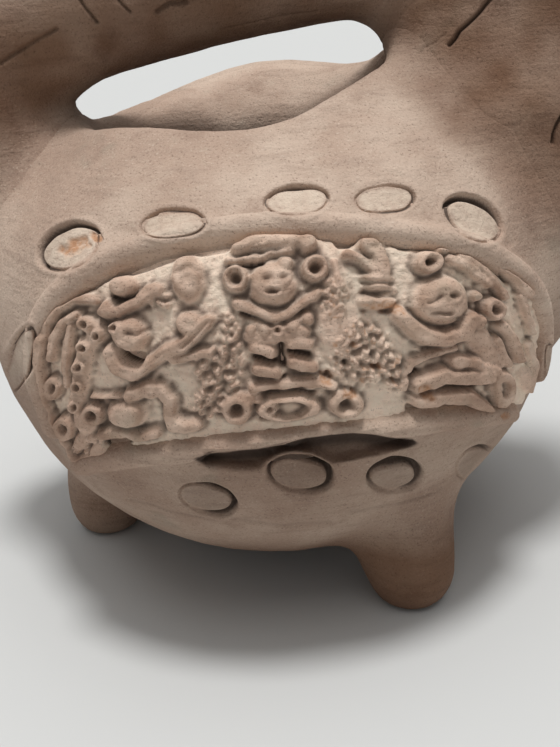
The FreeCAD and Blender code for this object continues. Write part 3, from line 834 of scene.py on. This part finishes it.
def detail_gap(x, y):
    """How far, in pixels, the nearest fine mark is."""
    gap = np.full(x.shape, 1e9)
    for centre, half_width, half_height, tilt, *_ in stamps:
        gap = np.minimum(gap, np.abs(oval_gap(x, y, centre, half_width, half_height, tilt)))
    for line in [crack[2] for crack in body_cracks] + [slot_top]:
        gap = np.minimum(gap, line_distance(x, y, line))
    return gap


def marked_skin(corners, normals):
    """The height of the photographed marks at places on the skin, and their colour shares."""
    x, y = pixels(corners)
    flat = np.stack([x, y, np.zeros_like(x)], axis=-1)
    x = x + 0.9 * noise(flat, 15.0, 31)
    y = y + 0.9 * noise(flat, 15.0, 32)
    seen = facing(corners, normals)
    front = seen * outward(corners, normals) * (corners[:, 1] < axis[1])
    stamped, stamp_floor = stamp_height(x, y)
    height = stamped * front
    # The lower ovals' floors are less pale and painted darker, more so further down
    low = ramp(y, 300.0, 440.0)
    cream = 0.5 * stamp_floor * (1 - 0.8 * low) * front
    dark = np.maximum(slot_shade(x, y), 0.22 * stamp_floor * low)
    # The ovals' grooves are painted dark where they are deepest: painted shade
    dark = np.maximum(dark, 0.9 * ramp(-stamped, 0.35, 0.9)) * front
    for depth, half_width, line in body_cracks:
        bite = np.exp(-(line_distance(x, y, line) / half_width) ** 2)
        bite = bite * seen * (corners[:, 1] < axis[1] + seen_back)
        height = height - depth * bite
        # The cracks and scratches are painted dark as well: painted shade in them
        dark = np.maximum(dark, depth * bite)
    chip = np.zeros_like(x)
    for centre, half_width, half_height, tilt, depth in body_chips:
        share = oval_share(x, y, centre, half_width, half_height, tilt) + 0.3 * noise(flat, 5.0, 33)
        inside = ramp(1.1 - share, 0, 0.5) * front
        height = height - depth * inside
        chip = np.maximum(chip, inside)
    return height, cream, chip, dark


def rough_skin(corners):
    """The hand's unevenness and the sand in the clay."""
    return (0.22 * noise(corners, 11.0, 41) + 0.12 * noise(corners, 4.6, 42) + 0.05 * noise(corners, 2.0, 43)
            + 0.03 * noise(corners, 1.1, 44))


def painted_shade_share(corners, normals):
    """Where shade is painted dark into the clay: the handle's and the spout's sides, most where they turn
    down, beside the handle's right root, under the bowl and on the feet, with random patches.
    """
    handle, root, spout = (sample(own[name], corners) for name in ("handle", "handle_root", "spout"))
    turned_down = ramp(0.80 - normals[:, 2], 0.0, 0.9)
    rightward = corners[:, 0] - axis[0]
    tube = 0.42 + 0.58 * turned_down + 0.34 * ramp(rightward, 15.0, 27.0)
    dark = ramp(6.0 - handle, 0.0, 7.0) * np.minimum(tube, 1)
    right = ramp(14.0 - np.minimum(root, spout), 0.0, 14.0) * ramp(corners[:, 2], 46.0, 66.0)
    dark = np.maximum(dark, 0.97 * right)
    under = 0.42 * ramp(joint_height + 3.0 - corners[:, 2], 0.0, 16.0)
    foot = (0.34 + 0.40 * ramp(rightward, -20.0, 10.0)) * ramp(20.0 - corners[:, 2], 0.0, 14.0)
    patches = 0.12 * noise(corners, 9.0, 51) + 0.16 * dark * noise(corners, 3.6, 52)
    return np.clip(np.maximum(dark, under + foot) + patches, 0, 1)


def make_piece(name, material):
    """A piece's skin, cut finer near its marks and raised by them."""
    field = own_field(name)
    corners, faces = field_mesh(field)
    corners = settle(field, corners, 2)
    for finest, reach in refinements:
        x, y = pixels(corners)
        normals = slope(field, corners)
        close = (x > -frame_margin) & (x < photo_width + frame_margin)
        close &= (y > -frame_margin) & (y < lowest_mark)
        close &= (facing(corners, normals) > 0) & (outward(corners, normals) > 0)
        close &= (corners[:, 1] < axis[1] + seen_back) & (detail_gap(x, y) < reach)
        loops = faces[:, [0, 1, 2, 0]]
        spans = np.hypot(np.diff(x[loops], axis=1), np.diff(y[loops], axis=1))
        marked = close[faces].all(axis=1) & (spans.max(axis=1) > finest)
        corners, faces = split_marked(corners, faces, marked)
        corners = settle(field, corners, 1)
    normals = slope(field, corners)
    height, cream, chip, dark = marked_skin(corners, normals)
    # What lies inside a joint keeps its place
    shown = ramp(0.2 - np.abs(sample(whole, corners)), 0, 0.15)
    lift = (height + rough_skin(corners)) * shown
    lift = lift * ramp(corners[:, 2], 0, 3 * sole_height)
    corners = corners + normals * lift[:, None]
    corners[:, 2] = np.maximum(corners[:, 2], 0)
    # On these pieces the tone mark is painted shade
    marks = {"cream": cream, "chip": chip, "dark": dark, "tone": painted_shade_share(corners, normals)}
    make_object(name + "_clay", corners, faces, [name], marks, material)


# Clay

# The skin's colour, and those of its clouds, streaks, dust, sand and pits
skin_red, skin_green, skin_blue = 0.49, 0.355, 0.275
pale_cloud, dark_cloud, grey_cloud = (0.60, 0.465, 0.37), (0.37, 0.255, 0.195), (0.36, 0.33, 0.26)
streak_brown, dust_buff = (0.38, 0.275, 0.215), (0.62, 0.52, 0.41)
pale_sand, dark_sand, pit_brown = (0.78, 0.66, 0.54), (0.16, 0.10, 0.075), (0.05, 0.035, 0.03)
# The marks' colours: pale dust, broken clay, painted shade with some dirt in the recesses, and the relief's
# darker raised clay with painted shade on the other pieces
cream_buff, chip_orange = (0.86, 0.735, 0.59), (0.56, 0.31, 0.18)
shade_and_dirt_brown, fired_and_shade_brown = (0.045, 0.030, 0.024), (0.36, 0.27, 0.215)
streak_stretch = (1, 1, 7)
bump_depth = 0.30


def clay(name, light, red, dust_share):
    """Unglazed fired clay: sandy, pitted, pale in its recesses, orange in its chips, and painted with shade
    in its creases and on its undersides.
    """
    material = bpy.data.materials.new(name)
    material.use_nodes = True
    nodes, links = material.node_tree.nodes, material.node_tree.links
    shader = nodes["Principled BSDF"]
    shader.inputs["Specular IOR Level"].default_value = 0.22
    place = nodes.new("ShaderNodeTexCoord").outputs["Object"]

    def cloud(size, detail=3.0, rough=0.55, kind="ShaderNodeTexNoise", vector=place):
        node = nodes.new(kind)
        node.inputs["Scale"].default_value = 1 / (size * MM)
        if "Detail" in node.inputs:
            node.inputs["Detail"].default_value = detail
            node.inputs["Roughness"].default_value = rough
        links.new(vector, node.inputs["Vector"])
        return node.outputs["Fac"] if kind == "ShaderNodeTexNoise" else node.outputs["Distance"]

    def spread(value, low, high, start=0.0, end=1.0):
        node = nodes.new("ShaderNodeMapRange")
        node.interpolation_type = "SMOOTHSTEP"
        for socket, number in zip(("From Min", "From Max", "To Min", "To Max"), (low, high, start, end)):
            node.inputs[socket].default_value = number
        links.new(value, node.inputs["Value"])
        return node.outputs["Result"]

    def combined(a, b, operation="MULTIPLY"):
        node = nodes.new("ShaderNodeMath")
        node.operation = operation
        for socket, value in zip(node.inputs, (a, b)):
            if isinstance(value, (int, float)):
                socket.default_value = value
            else:
                links.new(value, socket)
        return node.outputs[0]

    def tint(base, colour, share, blend="MIX"):
        node = nodes.new("ShaderNodeMix")
        node.data_type = "RGBA"
        node.blend_type = blend
        for socket, value in ((node.inputs[6], base), (node.inputs[7], colour)):
            if isinstance(value, tuple):
                socket.default_value = (*value, 1)
            else:
                links.new(value, socket)
        if isinstance(share, float):
            node.inputs[0].default_value = share
        else:
            links.new(share, node.inputs[0])
        return node.outputs[2]

    def mark(attribute):
        node = nodes.new("ShaderNodeAttribute")
        node.attribute_name = attribute
        return node.outputs["Fac"]

    def shade(rgb):
        return tuple(channel * light for channel in rgb)

    stretch = nodes.new("ShaderNodeVectorMath")
    stretch.operation = "MULTIPLY"
    stretch.inputs[1].default_value = streak_stretch
    links.new(place, stretch.inputs[0])
    streaks = cloud(8, 4, 0.6, vector=stretch.outputs[0])

    skin = (skin_red, skin_green - red, skin_blue - red)
    colour = tint(shade(skin), shade(pale_cloud), spread(cloud(16, 4), 0.38, 0.66))
    colour = tint(colour, shade(dark_cloud), spread(cloud(7, 5, 0.6), 0.54, 0.74, 0.0, 0.6))
    colour = tint(colour, shade(grey_cloud), spread(cloud(10, 3), 0.60, 0.76, 0.0, 0.45))
    dust = combined(spread(cloud(2.6, 5, 0.7), 0.55, 0.75, 0.0, 0.45), dust_share)
    colour = tint(colour, dust_buff, dust)
    colour = tint(colour, shade(streak_brown), spread(streaks, 0.50, 0.68, 0.0, 0.42))
    grain = cloud(0.32, 2.0, 0.7)
    colour = tint(colour, pale_sand, spread(grain, 0.56, 0.76, 0.0, 0.5))
    colour = tint(colour, dark_sand, spread(grain, 0.44, 0.26, 0.0, 0.6))
    cream = combined(mark("cream"), spread(cloud(1.3, 4), 0.35, 0.6, 0.35, 0.9))
    colour = tint(colour, cream_buff, cream)
    chip = combined(mark("chip"), spread(cloud(0.9, 3), 0.35, 0.6, 0.45, 1.0))
    colour = tint(colour, chip_orange, chip)
    # Painted shade, with some dirt: the slot, the ovals' grooves, the cracks and the relief's cuts and
    # creases are painted dark
    colour = tint(colour, shade_and_dirt_brown, combined(mark("dark"), 0.92))
    # The tone mark: the relief's darker raised clay, and painted shade on the other pieces
    colour = tint(colour, fired_and_shade_brown, mark("tone"), "MULTIPLY")
    pits = spread(cloud(1.7, kind="ShaderNodeTexVoronoi"), 0.10, 0.05)
    pits = combined(pits, spread(cloud(6, 2), 0.50, 0.60))
    colour = tint(colour, pit_brown, combined(pits, 0.8))
    links.new(colour, shader.inputs["Base Color"])
    links.new(spread(cloud(3, 4), 0.3, 0.7, 0.80, 0.97), shader.inputs["Roughness"])
    ridges = combined(cloud(0.9, 5, 0.65), combined(grain, 0.45), "ADD")
    ridges = combined(ridges, combined(pits, -0.8), "ADD")
    ridges = combined(ridges, combined(streaks, 0.8), "ADD")
    bump = nodes.new("ShaderNodeBump")
    bump.inputs["Strength"].default_value = 0.9
    bump.inputs["Distance"].default_value = bump_depth * MM
    links.new(ridges, bump.inputs["Height"])
    links.new(bump.outputs["Normal"], shader.inputs["Normal"])
    return material


# Each clay: how light it is, how much redder than the skin's colour, and its dust. The lightness paints light
# onto some copies of the one clay: the relief slab's is painted much lighter, the rim coil's and the rolls' a
# little lighter
clay_looks = {
    "bowl_clay": (0.99, 0.0, 0.6),
    "shoulder_clay": (1.03, 0.0, 0.7),
    "rim_coil_clay": (1.10, 0.0, 0.9),
    "handle_clay": (0.96, 0.006, 0.5),
    "handle_root_clay": (0.99, 0.004, 0.6),
    "spout_clay": (0.98, 0.004, 0.6),
    "roll_clay": (1.10, 0.002, 0.7),
    "foot_clay": (0.97, 0.004, 0.4),
    "relief_clay": (1.55, 0.002, 0.7),
}
clays = {slot: clay(slot, *look) for slot, look in clay_looks.items()}
piece_slots = {"lower_bowl": "bowl_clay", "upper_shell": "shoulder_clay", "back_rim_coil": "rim_coil_clay",
               "handle": "handle_clay", "handle_root": "handle_root_clay", "spout": "spout_clay"}
piece_slots.update(dict.fromkeys(rolls, "roll_clay"))
piece_slots.update(dict.fromkeys(feet, "foot_clay"))
for name, slot in piece_slots.items():
    make_piece(name, clays[slot])
make_slab("front_relief_slab", front_points, front_normals, clays["relief_clay"])
back_points, back_normals = slab_grid(back_angle)
make_slab("back_relief_slab", back_points, back_normals, clays["relief_clay"])


# Floor, light and camera

def plain(name, colour):
    """A matt material of one colour."""
    material = bpy.data.materials.new(name)
    material.use_nodes = True
    shader = material.node_tree.nodes["Principled BSDF"]
    shader.inputs["Base Color"].default_value = (*colour, 1)
    shader.inputs["Roughness"].default_value = 0.9
    shader.inputs["Specular IOR Level"].default_value = 0.2
    return material


floor_half = 6.0
floor_colour = (0.62, 0.625, 0.615)
backdrop_colour = (0.74, 0.745, 0.735, 1)
ambient_colour, ambient_strength = (0.98, 0.99, 1.0, 1), 0.23
floor_mesh = bpy.data.meshes.new("floor")
floor_corners = [(x * floor_half, y * floor_half, 0) for x, y in ((-1, -1), (1, -1), (1, 1), (-1, 1))]
floor_mesh.from_pydata(floor_corners, [], [(0, 1, 2, 3)])
floor = bpy.data.objects.new("floor", floor_mesh)
bpy.context.scene.collection.objects.link(floor)
floor_mesh.materials.append(plain("pale_floor", floor_colour))

scene = bpy.context.scene
world = bpy.data.worlds.new("studio")
scene.world = world
world.use_nodes = True
nodes, links = world.node_tree.nodes, world.node_tree.links
nodes.clear()
output = nodes.new("ShaderNodeOutputWorld")
ambient, backdrop, mix = (nodes.new(kind) for kind in
                          ("ShaderNodeBackground", "ShaderNodeBackground", "ShaderNodeMixShader"))
ambient.inputs["Color"].default_value = ambient_colour
ambient.inputs["Strength"].default_value = ambient_strength
backdrop.inputs["Color"].default_value = backdrop_colour
# The camera, glossy and transmitted rays see the backdrop; the others bring the ambient light
rays = nodes.new("ShaderNodeLightPath")
first, second = nodes.new("ShaderNodeMath"), nodes.new("ShaderNodeMath")
first.operation = second.operation = "MAXIMUM"
links.new(rays.outputs["Is Camera Ray"], first.inputs[0])
links.new(rays.outputs["Is Glossy Ray"], first.inputs[1])
links.new(first.outputs[0], second.inputs[0])
links.new(rays.outputs["Is Transmission Ray"], second.inputs[1])
links.new(second.outputs[0], mix.inputs[0])
links.new(ambient.outputs[0], mix.inputs[1])
links.new(backdrop.outputs[0], mix.inputs[2])
links.new(mix.outputs[0], output.inputs["Surface"])


def sun(name, strength, softness, direction):
    """A light from a direction, spread over an angle in degrees."""
    lamp = bpy.data.lights.new(name, "SUN")
    lamp.energy = strength
    lamp.angle = radians(softness)
    lamp_object = bpy.data.objects.new(name, lamp)
    lamp_object.rotation_euler = Vector(direction).to_track_quat("Z", "Y").to_euler()
    scene.collection.objects.link(lamp_object)


sun("overhead", 1.95, 11.0, (0.02, -0.14, 1.0))
sun("broad", 1.0, 55.0, (0.0, -0.06, 1.0))

right, up, forward = camera_axes()
camera_data = bpy.data.cameras.new("photo_camera")
camera_data.sensor_fit = "HORIZONTAL"
camera_data.sensor_width = 36.0
camera_data.lens = camera_data.sensor_width * focal_pixels / photo_width
camera_data.clip_start = 0.005
camera_data.clip_end = 50.0
camera = bpy.data.objects.new("photo_camera", camera_data)
turn = Matrix((right, up, -forward)).transposed().to_4x4()
camera.matrix_world = Matrix.Translation(Vector(camera_place * MM)) @ turn
scene.collection.objects.link(camera)
scene.camera = camera
scene.view_settings.view_transform = "Standard"
